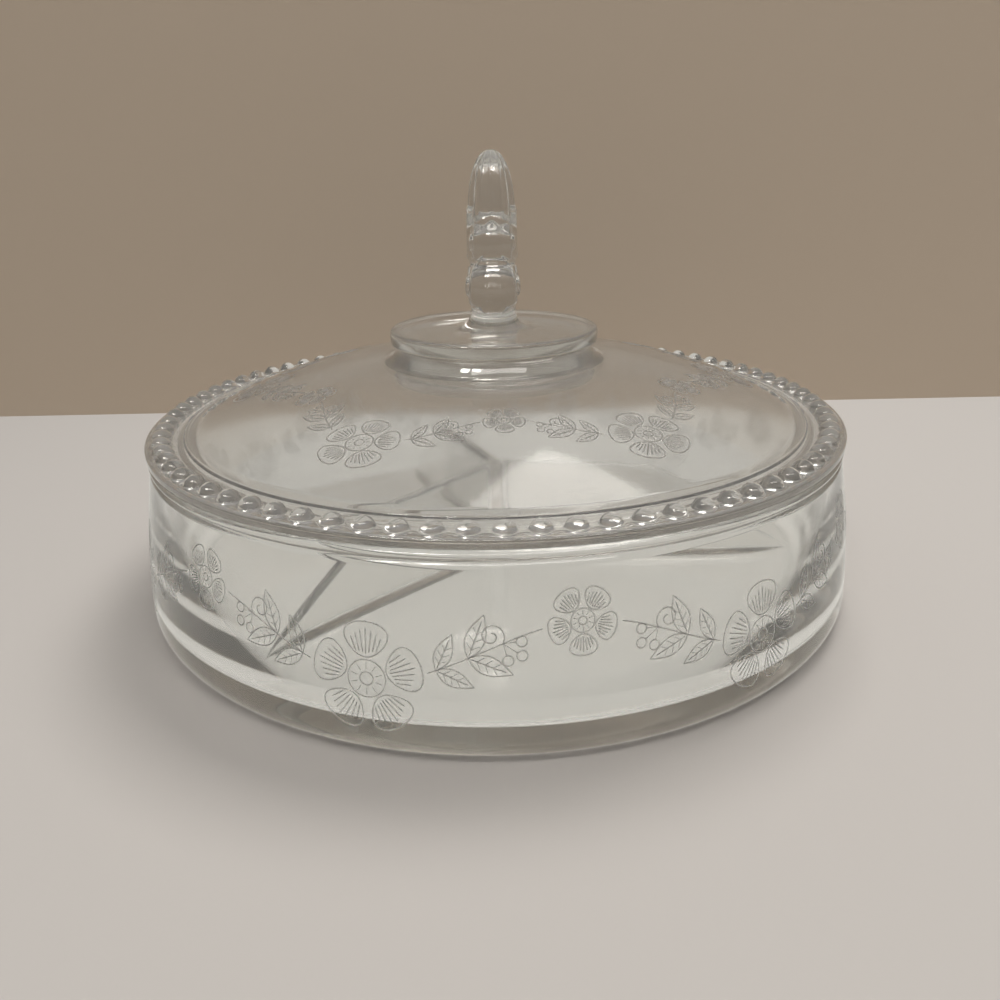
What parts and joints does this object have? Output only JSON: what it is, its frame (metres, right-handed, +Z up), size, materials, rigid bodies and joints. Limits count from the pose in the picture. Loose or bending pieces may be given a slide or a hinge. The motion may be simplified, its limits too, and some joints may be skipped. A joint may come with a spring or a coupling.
{
  "type": "covered divided dish",
  "caption": "Round clear glass serving dish with fixed dividers, a thick flat base and a lift-off domed lid that has a beaded flange and a scrolled plume finial.",
  "frame": {"origin": "middle of the dish's flat underside", "axes": "+Z up along the axis of the bowl and the lid, -Y towards the front, with the finial's broad side across X"},
  "size_m": [0.2032, 0.2032, 0.122],
  "materials": {
    "clear_glass": "clear pressed glass, fire polished, nearly colourless",
    "etched_glass": "frosted etched lines on the clear glass"
  },
  "bodies": {
    "dish": {"dish": "clear_glass"},
    "lid": {"lid": "clear_glass", "finial": "clear_glass"}
  },
  "joints": [
    {"name": "lid_lift", "type": "slide", "parent": "dish", "child": "lid", "axis": [0, 0, 1], "range_m": [0, 0.1]}
  ]
}
